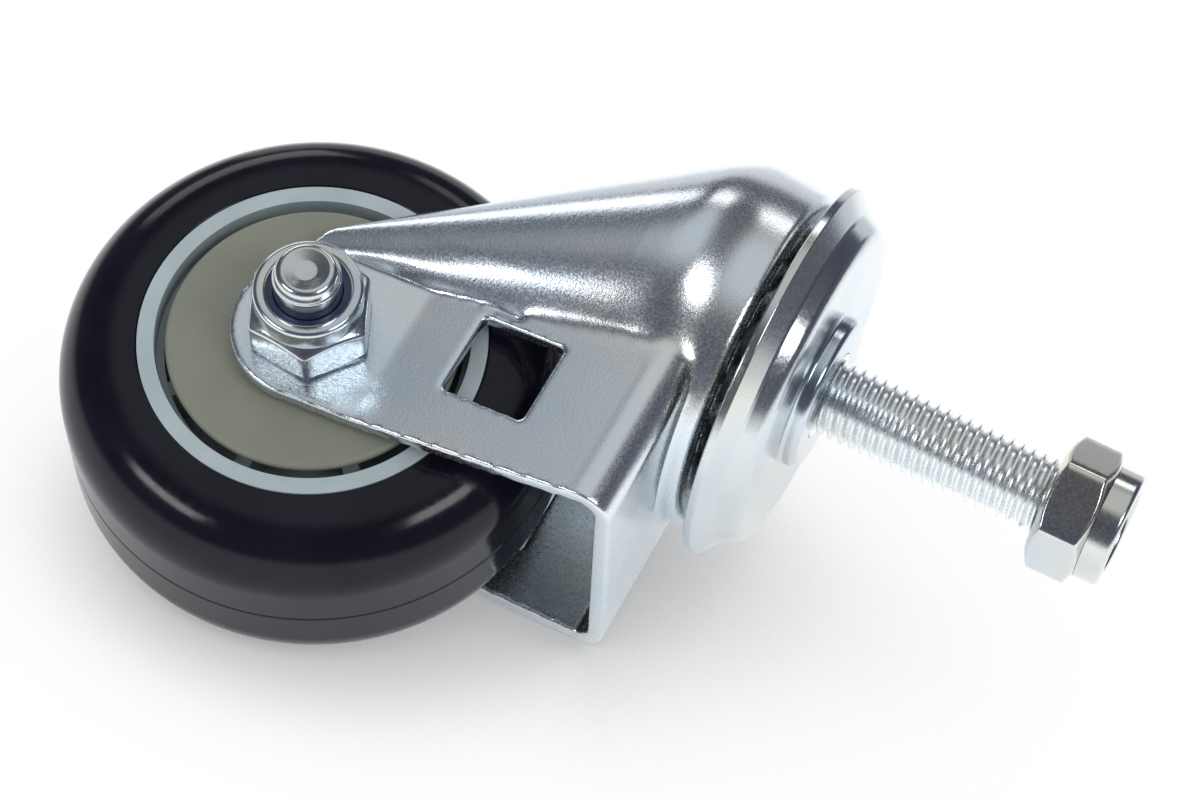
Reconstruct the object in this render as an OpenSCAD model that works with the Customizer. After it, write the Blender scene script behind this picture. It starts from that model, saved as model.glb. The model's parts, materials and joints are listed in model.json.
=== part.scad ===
// Swivel stand castor with a threaded stem, a ball-race head and a ball-bearing wheel.
// Z is the swivel axis and points up the stem, X is the trail, Y is the axle; z = 0 is the boss seat.

/* [Stem] */
// Thread diameter of the stem
stem_d = 12; // [11:0.5:13]
// Length of the stem above the boss seat
stem_len = 47; // [42:1:60]
// Relief of the thread under the nut, on the radius
stem_relief = 0.4; // [0.3:0.05:0.6]
// Diameter of the rivet neck through the lower race
neck_d = 10; // [9:0.5:11]
// Diameter of the stem root inside the boss
root_d = 14; // [13.5:0.5:15]
// Diameter of the stem collar between cup and lower race
collar_d = 15; // [15:0.25:16]
// Diameter of the peened foot of the stem
foot_d = 17; // [16:0.5:18]
// Height of the peened foot of the stem
foot_h = 2.4; // [2:0.2:3]
// Diameter of the hole through the crown deck
deck_hole_d = 17; // [16.8:0.2:18]

/* [Stem nut] */
// Width of the stem nut across its flats
stem_nut_af = 19; // [18:0.5:20]
// Height of the stem nut with its collar
stem_nut_h = 12; // [11:0.5:13]
// Turn of both nuts, in degrees
nut_turn = 25; // [0:1:59]
// Overhang of the stem nut past the end of the stem
stem_nut_over = 1.5; // [0.5:0.5:2.5]

/* [Lock nuts] */
// Share of a lock nut's height taken by its hexagon
hex_share = 0.68; // [0.6:0.01:0.7]
// Share of a lock nut's height taken by its insert seat
seat_share = 0.26; // [0.2:0.01:0.27]
// Share of the width across flats taken by the collar
collar_share = 0.95; // [0.92:0.01:0.97]
// Share of the width across flats taken by the insert
insert_share = 0.82; // [0.78:0.01:0.84]
// Share of the insert's diameter left open by the crimp
mouth_share = 0.9; // [0.85:0.01:0.95]
// Share of the width across flats left on a hexagon's end face
face_share = 0.98; // [0.94:0.01:1]
// Chamfer angle of the hexagon corners, in degrees
hex_chamfer = 30; // [20:1:40]

/* [Top cup] */
// Outer diameter of the cup rim
cup_d = 60.8; // [58:0.4:64]
// Diameter of the boss in the middle of the cup
boss_d = 24.6; // [23:0.2:27]
// Diameter of the cup's flat shoulder
shoulder_d = 52; // [50:0.5:54]
// Thickness of the cup sheet
cup_t = 2.5; // [2.2:0.1:2.8]
// Radius of the boss edge
boss_round = 1; // [0.5:0.1:1.5]
// Width of the cup rim's lower face
rim_w = 2; // [1.5:0.1:2.5]
// Height of the cup rim
rim_h = 1.3; // [1:0.1:2]
// Gap between the cup rim and the crown deck
rim_gap = 1.9; // [1.5:0.1:2.5]

/* [Swivel balls] */
// Diameter of the upper balls
upper_ball_d = 6.35; // [6:0.05:6.6]
// Diameter of the upper ball circle
upper_track_d = 40; // [39:0.5:41]
// Number of upper balls
upper_ball_n = 18; // [12:1:18]
// Diameter of the lower balls
lower_ball_d = 4; // [3.6:0.2:4.4]
// Diameter of the lower ball circle
lower_track_d = 24; // [23.5:0.5:25]
// Number of lower balls
lower_ball_n = 16; // [10:1:16]
// Height of the lip round the lower balls
lower_lip_h = 2.4; // [2:0.1:2.8]
// Thickness of the lower race
lower_race_t = 2.5; // [2:0.25:3]

/* [Fork] */
// Thickness of the fork sheet
sheet_t = 2.5; // [2:0.1:3]
// Clearance between the wheel and each fork leg
leg_clear = 0.9; // [0.7:0.1:2]
// Distance of the axle behind the swivel axis
trail = 36; // [33:0.5:38]
// Drop of the axle below the boss seat
axle_drop = 68.6; // [66:0.2:74]
// Radius of the rounded leg ends
leg_end_r = 12; // [11:0.5:14]
// Drop of the crown deck below the boss seat
deck_drop = 11.5; // [11.3:0.1:12]
// Diameter of the crown at its deck
deck_d = 55; // [53:0.5:57]
// Chamfer round the crown deck
deck_edge = 1.2; // [0.8:0.1:1.6]
// Diameter of the crown at its lower edge
crown_d = 57.6; // [57:0.2:60]
// Height of the crown wall
crown_h = 13; // [12:0.5:14]
// Length of the flank ring from front to back
flank_x = 53; // [52:0.5:55]
// Width of the flank ring over both flanks
flank_w = 62.4; // [60:0.2:64]
// Height of the flare from the crown wall to the flank ring
flare_h = 6.5; // [5:0.5:8]
// Drop of the tail plate below the boss seat
plate_drop = 15.4; // [15:0.1:16]
// Reach of the tail plate behind the swivel axis
tail_x = 44.2; // [43:0.2:47]
// Width over the tail plate
tail_w = 49.2; // [46:0.2:51]
// Drop of the knee where the legs turn parallel
knee_drop = 56; // [52:0.5:58]
// Outer radius of the bends from plate to legs
bend_r = 5; // [4:0.5:6]
// Side of the square hole in each leg
hole_side = 13.2; // [10:0.2:14]
// Distance of the square hole behind the swivel axis
hole_x = 29.9; // [29:0.1:33]
// Drop of the square hole below the boss seat
hole_drop = 40.1; // [38:0.1:44]
// Distance of the front leg corner ahead of the axle
toe_x = 14.2; // [12:0.2:16]
// Drop of the front leg corner below the axle
toe_drop = 4.4; // [2:0.2:6]
// Radius of the front leg corner
toe_r = 2; // [1.5:0.1:3]
// Drop of the front arch below the boss seat
arch_drop = 26; // [24:0.5:30]

/* [Axle] */
// Diameter of the axle bolt
axle_d = 10; // [9.5:0.1:10]
// Width of the axle nut and bolt head across the flats
axle_af = 17; // [16:0.5:18]
// Height of the axle bolt head
head_h = 6.4; // [5.5:0.1:7]
// Height of the axle nut with its collar
axle_nut_h = 11; // [10:0.5:12]
// Length of the bolt end past the nut
axle_tip = 5.2; // [2:0.2:7]
// Diameter of the dimple in the bolt end
dimple_d = 6; // [4:0.2:7]
// Depth of the dimple in the bolt end
dimple_h = 0.6; // [0.3:0.1:1]

/* [Wheel] */
// Diameter of the wheel over its tyre
wheel_d = 76.2; // [74:0.2:78]
// Width of the wheel
wheel_w = 33; // [32.4:0.2:33.6]
// Radius of the tyre shoulders
shoulder_r = 9.6; // [6:0.2:11]
// Outer diameter of the visible core ring
ring_d = 51.6; // [50.4:0.2:54]
// Radial width of the visible core ring
ring_w = 2.5; // [2:0.1:2.8]
// Gap between the thread guards and the core ring
guard_gap = 1.6; // [1:0.1:2.5]
// Thickness of the thread guard discs
guard_t = 1.5; // [1.2:0.1:1.6]
// Diameter of the guard hub against the fork leg
guard_hub_d = 19; // [17:0.5:20]
// Height of the guard hub against the bearing
guard_hub_h = 1.6; // [1.2:0.1:2]
// Depth of the key ring that holds the tyre
key_depth = 2.6; // [2:0.1:3]
// Share of the wheel's width taken by the key ring
key_share = 0.35; // [0.25:0.01:0.4]
// Wall of the core round the bearings
hub_t = 2.6; // [2:0.1:3]
// Set-back of the core's web behind the bearing seats
web_back = 1; // [0.5:0.1:2]
// Number of ribs on each side of the core
rib_n = 8; // [5:1:10]
// Thickness of the core ribs
rib_t = 2.4; // [1.8:0.2:3]

/* [Wheel bearings] */
// Outer diameter of the wheel bearings
bearing_d = 26; // [26:0.5:28]
// Width of the wheel bearings
bearing_w = 8; // [7:0.5:8]
// Wall of the inner races
race_in_t = 2.6; // [2.4:0.1:2.8]
// Wall of the outer races
race_out_t = 2.4; // [2.2:0.1:2.6]
// Share of the bearing's width taken by its cage
cage_share = 0.78; // [0.7:0.01:0.85]
// Diameter of the wheel bearing balls
bearing_ball_d = 4.4; // [4:0.2:4.6]
// Number of balls in each wheel bearing
bearing_ball_n = 8; // [6:1:8]

/* [Fits] */
// Radial clearance of fitted and turning shafts
fit = 0.05; // [0.03:0.01:0.08]
// Radial clearance of bolt holes
bolt_clear = 0.1; // [0.1:0.05:0.3]
// Clearance of the rolling balls
ball_clear = 0.06; // [0.05:0.01:0.1]

/* [Hidden] */
$fn = 96;
ZINC = [0.74, 0.76, 0.79];
STEEL = [0.62, 0.63, 0.65];
NYLON = [0.10, 0.13, 0.24];
BLACK = [0.05, 0.05, 0.06];
PALE = [0.62, 0.65, 0.70];
OLIVE = [0.43, 0.43, 0.38];
past = 1;
arc_n = 6;
stem_r = stem_d / 2;
nut_z = stem_len + stem_nut_over - stem_nut_h;
thread_end = nut_z - past;
cup_under = deck_drop - upper_ball_d - 2 * ball_clear;
plateau = cup_under - cup_t;
upper_z = -deck_drop + upper_ball_d / 2 + ball_clear;
rim_z = rim_gap - deck_drop;
deck_under = deck_drop + sheet_t;
lower_z = -deck_under - lower_ball_d / 2 - ball_clear;
lower_top = lower_z - lower_ball_d / 2 - ball_clear;
lower_lip_r = lower_track_d / 2 + lower_ball_d / 2 + 4 * ball_clear;
wheel_r = wheel_d / 2;
half_w = wheel_w / 2;
leg_in = half_w + leg_clear;
leg_out = leg_in + sheet_t;
axle_r = axle_d / 2;
ring_r = ring_d / 2;
guard_r = ring_r - ring_w - guard_gap;
guard_out = half_w + fit;
bearing_out = guard_out - guard_t - guard_hub_h;
bearing_mid = bearing_out - bearing_w / 2;
bearing_in = bearing_out - bearing_w;
race_in_r = axle_r + race_in_t;
race_out_r = bearing_d / 2 - race_out_t;
pitch_r = (race_in_r + race_out_r) / 2;
hub_r = bearing_d / 2 + hub_t;
key_r = ring_r + key_depth;
key_w = half_w * key_share;

// Moves a shape built on Z to the axle, with Z pointing to +Y
module on_axle() {
    translate([trail, 0, -axle_drop])
        rotate([-90, 0, 0])
            children();
}

// Places a shape on one side of the wheel; side is -1 for left, 1 for right
module on_side(side) {
    on_axle()
        rotate([side < 0 ? 180 : 0, 0, 0])
            children();
}

// Ring of balls around Z
module ball_ring(count, circle_r, ball_d) {
    for (i = [0 : count - 1])
        rotate([0, 0, i * 360 / count])
            translate([circle_r, 0, 0])
                sphere(d = ball_d);
}

// Tube around Z
module tube(outer_r, inner_r, h) {
    difference() {
        cylinder(r = outer_r, h = h);
        translate([0, 0, -past])
            cylinder(r = inner_r, h = h + 2 * past);
    }
}

// Hexagon with chamfered corners around Z
module hexagon(af, h) {
    corner_r = af / sqrt(3);
    face_r = af / 2 * face_share;
    chamfer = (corner_r - face_r) * tan(hex_chamfer);
    intersection() {
        cylinder(r = corner_r, h = h, $fn = 6);
        rotate_extrude()
            polygon([[0, 0], [face_r, 0], [corner_r, chamfer], [corner_r, h - chamfer], [face_r, h], [0, h]]);
    }
}

// Lock nut on Z with a crimped collar over its insert seat
module lock_nut(af, h, bore_r) {
    collar_r = af / 2 * collar_share;
    insert_r = af / 2 * insert_share;
    hex_h = h * hex_share;
    seat_h = h * seat_share;
    lip_h = h - hex_h - seat_h;
    difference() {
        union() {
            rotate(nut_turn)
                hexagon(af, hex_h);
            translate([0, 0, hex_h - past])
                cylinder(r = collar_r, h = seat_h + past);
            translate([0, 0, hex_h + seat_h])
                cylinder(r1 = collar_r, r2 = collar_r - lip_h, h = lip_h);
        }
        translate([0, 0, -past])
            cylinder(r = bore_r, h = h + 2 * past);
        translate([0, 0, hex_h])
            cylinder(r = insert_r + fit, h = seat_h);
        translate([0, 0, hex_h])
            cylinder(r = insert_r * mouth_share, h = h);
    }
}

// Insert ring of a lock nut
module nut_insert(af, h, bore_r) {
    translate([0, 0, h * hex_share + fit])
        tube(af / 2 * insert_share, bore_r, h * seat_share - 2 * fit);
}

// Points along an arc between two angles
function arc(x, y, r, from, to) = [
    for (i = [0 : arc_n])
        let (a = from + (to - from) * i / arc_n)
            [x + r * cos(a), y + r * sin(a)]
];

// Section of the top cup: radius on X, height on Y
module cup_section() {
    bore_r = root_d / 2 + fit;
    boss_r = boss_d / 2;
    rim_r = cup_d / 2;
    lip = rim_z + rim_h;
    bend_x = shoulder_d / 2 - cup_t;
    reach = norm([rim_r - bend_x, lip + cup_under]);
    lean = atan2(lip + cup_under, rim_r - bend_x) + acos(cup_t / reach);
    polygon(concat(
        [[bore_r, -cup_under], [bore_r, 0]],
        arc(boss_r - boss_round, -boss_round, boss_round, 90, 0),
        [[boss_r, -plateau]],
        arc(bend_x, -cup_under, cup_t, 90, lean),
        [[rim_r, lip], [rim_r, rim_z], [rim_r - rim_w, rim_z], [bend_x, -cup_under]]));
}

// Crown wall and the round flanks below it, running down to the leg ends; inset moves every face inwards
module crown_body(inset, top) {
    foot = deck_drop + crown_h;
    deck_r = deck_d / 2 - inset;
    crown_r = crown_d / 2 - inset;
    ring_x = flank_x / 2 - inset;
    ring_y = flank_w / 2 - inset;
    translate([0, 0, -top - deck_edge])
        cylinder(r1 = deck_r, r2 = deck_r - deck_edge, h = deck_edge);
    translate([0, 0, inset - foot])
        cylinder(r1 = crown_r, r2 = deck_r, h = foot - inset - top - deck_edge);
    hull() {
        translate([0, 0, past / 2 - foot])
            scale([ring_x, ring_y, 1])
                cylinder(r = 1, h = past);
        translate([0, 0, flare_h - foot])
            cylinder(r = deck_r, h = past);
        translate([trail - toe_x + inset, 0, -axle_drop - toe_drop + inset / 2])
            rotate([90, 0, 0])
                cylinder(r = toe_r, h = 2 * (leg_out - inset), center = true, $fn = 32);
    }
}

// Side outline of the flat legs and the tail plate, grown by a margin: trail on X, height on Y
module leg_outline(margin) {
    foot = axle_drop - plate_drop;
    translate([trail, -axle_drop])
        circle(r = leg_end_r + margin);
    polygon([[0, -plate_drop], [tail_x + margin, -plate_drop], [tail_x + margin, -plate_drop - bend_r],
        [trail + leg_end_r + margin, -axle_drop], [trail, -axle_drop - leg_end_r - margin],
        [trail - toe_x - margin, -axle_drop - toe_drop - toe_r - margin],
        [trail - toe_x - margin, -plate_drop - foot / 2], [0, -plate_drop - foot / 4]]);
}

// Flat legs and tail plate as one bent solid; inset moves its top and sides inwards
module leg_body(inset, margin) {
    low_y = leg_out - inset;
    high_y = tail_w / 2 - inset;
    round_r = bend_r - inset;
    bend_z = -plate_drop - bend_r;
    reach = axle_drop + leg_end_r + 2 * past;
    intersection() {
        translate([0, high_y, 0])
            rotate([90, 0, 0])
                linear_extrude(height = 2 * high_y)
                    translate([0, -inset])
                        leg_outline(margin);
        rotate([90, 0, 90])
            linear_extrude(height = tail_x + leg_end_r + margin) {
                polygon([[-low_y, -reach], [low_y, -reach], [low_y, -knee_drop], [high_y, bend_z],
                    [high_y - round_r, bend_z + round_r], [round_r - high_y, bend_z + round_r],
                    [-high_y, bend_z], [-low_y, -knee_drop]]);
                for (y = [round_r - high_y, high_y - round_r])
                    translate([y, bend_z])
                        circle(r = round_r);
            }
    }
}

// Space cut below the front arch and between the legs
module arch_space() {
    foot = axle_drop + leg_end_r + 2 * past;
    translate([0, leg_in, 0])
        rotate([90, 0, 0])
            linear_extrude(height = 2 * leg_in)
                polygon([[-crown_d, -arch_drop], [0, -arch_drop], [trail, -arch_drop],
                    [trail + crown_d, -foot], [-crown_d, -foot]]);
}

module stem() {
    chamfer = stem_d / 10;
    relief_r = stem_r - stem_relief;
    color(ZINC) {
        cylinder(r = stem_r, h = thread_end);
        translate([0, 0, thread_end - past])
            cylinder(r = relief_r, h = stem_len - thread_end - chamfer + past);
        translate([0, 0, stem_len - chamfer])
            cylinder(r1 = relief_r, r2 = relief_r - chamfer, h = chamfer);
        translate([0, 0, -cup_under])
            cylinder(d = root_d, h = cup_under);
        translate([0, 0, lower_top])
            cylinder(d = collar_d, h = -cup_under - lower_top);
        translate([0, 0, lower_top - lower_race_t - foot_h / 2])
            cylinder(d = neck_d, h = lower_race_t + foot_h);
        translate([0, 0, lower_top - lower_race_t - foot_h])
            cylinder(d1 = foot_d - foot_h, d2 = foot_d, h = foot_h);
    }
}

module stem_nut() {
    color(ZINC)
        translate([0, 0, nut_z])
            lock_nut(stem_nut_af, stem_nut_h, stem_r - stem_relief + fit);
}

module stem_nut_insert() {
    color(NYLON)
        translate([0, 0, nut_z])
            nut_insert(stem_nut_af, stem_nut_h, stem_r - stem_relief + fit);
}

module top_cup() {
    color(ZINC)
        rotate_extrude()
            cup_section();
}

module upper_balls() {
    color(STEEL)
        translate([0, 0, upper_z])
            ball_ring(upper_ball_n, upper_track_d / 2, upper_ball_d);
}

module lower_balls() {
    color(STEEL)
        translate([0, 0, lower_z])
            ball_ring(lower_ball_n, lower_track_d / 2, lower_ball_d);
}

module lower_race() {
    color(STEEL)
        translate([0, 0, lower_top - lower_race_t]) {
            tube(lower_lip_r + cup_t, neck_d / 2 + fit, lower_race_t);
            tube(lower_lip_r + cup_t, lower_lip_r, lower_race_t + lower_lip_h);
        }
}

module fork() {
    cut = tail_w / 2 + bend_r;
    color(ZINC)
        difference() {
            union() {
                crown_body(0, deck_drop);
                leg_body(0, 0);
            }
            crown_body(sheet_t, deck_under);
            leg_body(sheet_t, leg_end_r);
            arch_space();
            translate([0, 0, -deck_under - past])
                cylinder(d = deck_hole_d, h = sheet_t + 2 * past);
            translate([0, cut, 0])
                rotate([90, 0, 0])
                    linear_extrude(height = 2 * cut)
                        translate([hole_x, -hole_drop])
                            square(hole_side, center = true);
            on_axle()
                cylinder(r = axle_r + bolt_clear, h = 2 * cut, center = true);
        }
}

module axle_bolt() {
    chamfer = axle_d / 8;
    shank = 2 * leg_out + axle_nut_h + axle_tip;
    color(ZINC)
        on_axle() {
            translate([0, 0, leg_out])
                hexagon(axle_af, head_h);
            difference() {
                translate([0, 0, leg_out - shank])
                    union() {
                        cylinder(r1 = axle_r - chamfer, r2 = axle_r, h = chamfer);
                        translate([0, 0, chamfer])
                            cylinder(r = axle_r, h = shank - chamfer + past);
                    }
                translate([0, 0, leg_out - shank - past])
                    cylinder(d1 = dimple_d, d2 = dimple_d / 2, h = past + dimple_h);
            }
        }
}

module axle_nut() {
    color(ZINC)
        on_side(-1)
            translate([0, 0, leg_out])
                lock_nut(axle_af, axle_nut_h, axle_r + fit);
}

module axle_nut_insert() {
    color(NYLON)
        on_side(-1)
            translate([0, 0, leg_out])
                nut_insert(axle_af, axle_nut_h, axle_r + fit);
}

module guard(side) {
    edge = guard_t / 2;
    color(OLIVE)
        on_side(side)
            rotate_extrude()
                difference() {
                    union() {
                        translate([0, guard_out - guard_t])
                            square([guard_r - edge, guard_t]);
                        translate([guard_r - edge, guard_out - edge])
                            circle(r = edge);
                        translate([0, bearing_out])
                            square([race_in_r, guard_out - bearing_out]);
                        translate([0, guard_out - edge])
                            square([guard_hub_d / 2, leg_in - guard_out + edge]);
                    }
                    square([axle_r + bolt_clear, leg_out]);
                }
}

module guard_left() {
    guard(-1);
}

module guard_right() {
    guard(1);
}

module axle_spacer() {
    color(STEEL)
        on_axle()
            translate([0, 0, -bearing_in])
                tube(race_in_r, axle_r + fit, 2 * bearing_in);
}

// One bearing race between two radii, with its ball groove
module race(side, outer_r, inner_r) {
    color(STEEL)
        on_side(side)
            rotate_extrude()
                difference() {
                    translate([inner_r, bearing_in])
                        square([outer_r - inner_r, bearing_w]);
                    translate([pitch_r, bearing_mid])
                        circle(d = bearing_ball_d + 2 * ball_clear);
                }
}

module bearing_inner_left() {
    race(-1, race_in_r, axle_r + fit);
}

module bearing_inner_right() {
    race(1, race_in_r, axle_r + fit);
}

module bearing_outer_left() {
    race(-1, bearing_d / 2, race_out_r);
}

module bearing_outer_right() {
    race(1, bearing_d / 2, race_out_r);
}

module bearing_balls(side) {
    color(STEEL)
        on_side(side)
            translate([0, 0, bearing_mid])
                ball_ring(bearing_ball_n, pitch_r, bearing_ball_d);
}

module bearing_balls_left() {
    bearing_balls(-1);
}

module bearing_balls_right() {
    bearing_balls(1);
}

module bearing_cage(side) {
    cage_w = bearing_w * cage_share;
    cage_t = (race_out_r - race_in_r) / 3;
    color(STEEL)
        on_side(side)
            translate([0, 0, bearing_mid])
                difference() {
                    translate([0, 0, -cage_w / 2])
                        tube(pitch_r + cage_t, pitch_r - cage_t, cage_w);
                    for (i = [0 : bearing_ball_n - 1])
                        rotate([0, 90, i * 360 / bearing_ball_n])
                            cylinder(d = bearing_ball_d + 4 * ball_clear, h = pitch_r + 2 * cage_t);
                }
}

module bearing_cage_left() {
    bearing_cage(-1);
}

module bearing_cage_right() {
    bearing_cage(1);
}

// Square ring section between two radii, up to a height on both sides of the wheel's middle
module core_band(inner_r, outer_r, half_h) {
    translate([inner_r, -half_h])
        square([outer_r - inner_r, 2 * half_h]);
}

module wheel_core() {
    well_r = ring_r - ring_w;
    rim_r = well_r - ring_w / 2;
    well_h = bearing_out - past;
    color(PALE)
        on_axle() {
            rotate_extrude() {
                core_band(well_r, ring_r, half_w);
                core_band(rim_r, ring_r, well_h);
                core_band(well_r, key_r, key_w);
                core_band(race_out_r, well_r, bearing_in - web_back);
                core_band(race_out_r, hub_r, bearing_in);
                core_band(bearing_d / 2 + fit, hub_r, bearing_out);
            }
            for (i = [0 : rib_n - 1])
                rotate([0, 0, i * 360 / rib_n])
                    translate([hub_r - past, -rib_t / 2, past / 2 - well_h])
                        cube([rim_r + ring_w / 4 - hub_r + past, rib_t, 2 * well_h - past]);
        }
}

module tyre() {
    bond_r = ring_r + fit;
    crown_w = half_w - shoulder_r;
    color(BLACK)
        on_axle()
            rotate_extrude()
                difference() {
                    union() {
                        translate([bond_r, -crown_w])
                            square([wheel_r - bond_r, 2 * crown_w]);
                        translate([bond_r, -half_w])
                            square([wheel_r - shoulder_r - bond_r, wheel_w]);
                        for (y = [-crown_w, crown_w])
                            translate([wheel_r - shoulder_r, y])
                                circle(r = shoulder_r);
                    }
                    translate([0, -half_w - past])
                        square([bond_r, wheel_w + 2 * past]);
                    translate([0, -key_w - fit])
                        square([key_r + fit, 2 * (key_w + fit)]);
                }
}

stem();
stem_nut();
stem_nut_insert();
top_cup();
upper_balls();
lower_balls();
lower_race();
fork();
axle_bolt();
axle_nut();
axle_nut_insert();
guard_left();
guard_right();
axle_spacer();
bearing_inner_left();
bearing_inner_right();
bearing_outer_left();
bearing_outer_right();
bearing_balls_left();
bearing_balls_right();
bearing_cage_left();
bearing_cage_right();
wheel_core();
tyre();
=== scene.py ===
"""Looks of the stand castor: smooth metal and plastic pieces, threads, studio and camera."""

import json
import logging
import math
from abc import ABC, abstractmethod
from dataclasses import dataclass
from enum import Enum
from typing import Sequence

import bmesh
import bpy
import numpy as np
from mathutils import Matrix, Vector

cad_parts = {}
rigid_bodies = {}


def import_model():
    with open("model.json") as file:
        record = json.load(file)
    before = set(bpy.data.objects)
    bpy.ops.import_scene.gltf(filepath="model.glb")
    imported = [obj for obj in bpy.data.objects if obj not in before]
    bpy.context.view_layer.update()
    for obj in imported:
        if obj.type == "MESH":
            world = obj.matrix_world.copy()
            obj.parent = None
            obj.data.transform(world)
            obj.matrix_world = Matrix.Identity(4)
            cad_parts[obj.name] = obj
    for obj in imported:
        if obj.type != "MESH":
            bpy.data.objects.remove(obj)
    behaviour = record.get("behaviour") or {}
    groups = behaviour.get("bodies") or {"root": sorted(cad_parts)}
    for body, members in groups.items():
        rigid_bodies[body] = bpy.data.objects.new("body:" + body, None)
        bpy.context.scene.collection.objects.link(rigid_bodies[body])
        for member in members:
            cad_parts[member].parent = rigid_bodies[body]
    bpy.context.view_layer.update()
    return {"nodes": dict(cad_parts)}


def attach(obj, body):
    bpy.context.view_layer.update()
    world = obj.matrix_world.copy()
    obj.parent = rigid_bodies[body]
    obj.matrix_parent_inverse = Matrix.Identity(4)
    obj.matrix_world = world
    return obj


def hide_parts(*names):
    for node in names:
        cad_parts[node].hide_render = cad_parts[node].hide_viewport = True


LOG = logging.getLogger("stand_castor")
MM = 0.001

# A point is a radius and a height; a corner has the radius of its rounding as well
Point = tuple[float, float]
Corner = tuple[float, float, float]
Colour = tuple[float, float, float]
Stops = Sequence[tuple[float, Colour]]


class Slot(Enum):
    """Material slots of the record."""

    ZINC = "zinc"
    FORK = "fork_zinc"
    STEEL = "steel"
    NYLON = "nylon"
    CORE = "core"
    GUARD = "guard"
    TYRE = "tyre"


class Axis(Enum):
    """Axes that turned pieces are built round."""

    SWIVEL = "swivel"
    AXLE = "axle"


@dataclass(frozen=True)
class Layout:
    """Places shared by the pieces, in millimetres.

    Attributes:
        trail: distance of the axle behind the swivel axis.
        axle_drop: drop of the axle below the boss seat.
        leg_out: distance of a leg's outer face from the middle.
        half_w: half the wheel's width.
    """

    trail: float = 36.0
    axle_drop: float = 68.6
    leg_out: float = 19.9
    half_w: float = 16.5

    def matrix(self, axis: Axis) -> Matrix:
        """Gives the place of a piece built round Z.

        Args:
            axis: the axis that the piece turns on.

        Returns:
            The matrix from the piece's own frame to the row frame, in metres.
        """
        if axis is Axis.SWIVEL:
            return Matrix.Identity(4)
        place = Matrix.Translation((self.trail * MM, 0.0, -self.axle_drop * MM))
        return place @ Matrix.Rotation(-math.pi / 2, 4, "X")


LAYOUT = Layout()

# Camera: its right, its up and its place in the row frame, and its lens
RIGHT = Vector((-0.4635, -0.02666, 0.8857))
ABOVE = Vector((-0.77551, -0.47134, -0.42003))
CAMERA_PLACE = Vector((0.23351, -0.44471, 0.06948))
LENS = 100.0
SENSOR = 36.0

# Table: rough direction away from it, its size, where it fades and its paint
TABLE_GUESS = Vector((-0.31, -0.94, -0.11))
TABLE_RADIUS = 0.6
TABLE_SIDES = 96
TABLE_FADE = (0.22, 0.50)
TABLE_PAINT = (0.97, 0.97, 0.97, 1.0)
SMALLEST_FACET = 1e-5

# Light that falls on everything, and the room that bright metal mirrors, by height
DOME = (0.97, 0.985, 1.0, 1.0)
WHITE = (1.0, 1.0, 1.0, 1.0)
ROOM: Stops = (
    (-1.0, (0.95, 0.95, 0.95)),
    (-0.04, (0.86, 0.87, 0.88)),
    (0.03, (0.13, 0.135, 0.17)),
    (0.60, (0.06, 0.065, 0.10)),
    (0.82, (0.12, 0.125, 0.14)),
    (0.89, (0.42, 0.43, 0.44)),
    (0.94, (0.67, 0.69, 0.71)),
)


@dataclass(frozen=True)
class Lamp:
    """A flat lamp round the table.

    Attributes:
        name: the lamp's name.
        azimuth: turn from straight ahead to the right, in degrees.
        elevation: height over the table, in degrees.
        size: width and height in metres.
        glow: brightness of its face, where 1 is white paper in the dome's light.
    """

    name: str
    azimuth: float
    elevation: float
    size: Point
    glow: float


LAMPS = (
    Lamp("left", -133.0, 31.0, (0.36, 0.18), 9.0),
    Lamp("right", 136.0, 44.0, (0.36, 0.24), 8.0),
    Lamp("back", -36.0, 33.0, (0.55, 0.28), 2.2),
    Lamp("wall", 5.0, 11.0, (1.2, 0.26), 0.7),
    Lamp("top", 15.0, 50.0, (0.5, 0.22), 1.9),
)
LAMP_DISTANCE = 1.0

# Soft shadow on the table, from covered to open
SHADOW_REACH = 0.075
SHADOW_SAMPLES = 24
SHADOW: Stops = (
    (0.0, (0.26, 0.265, 0.27)),
    (0.45, (0.64, 0.65, 0.66)),
    (0.72, (0.96, 0.96, 0.965)),
    (0.86, (1.0, 1.0, 1.0)),
)


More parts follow.
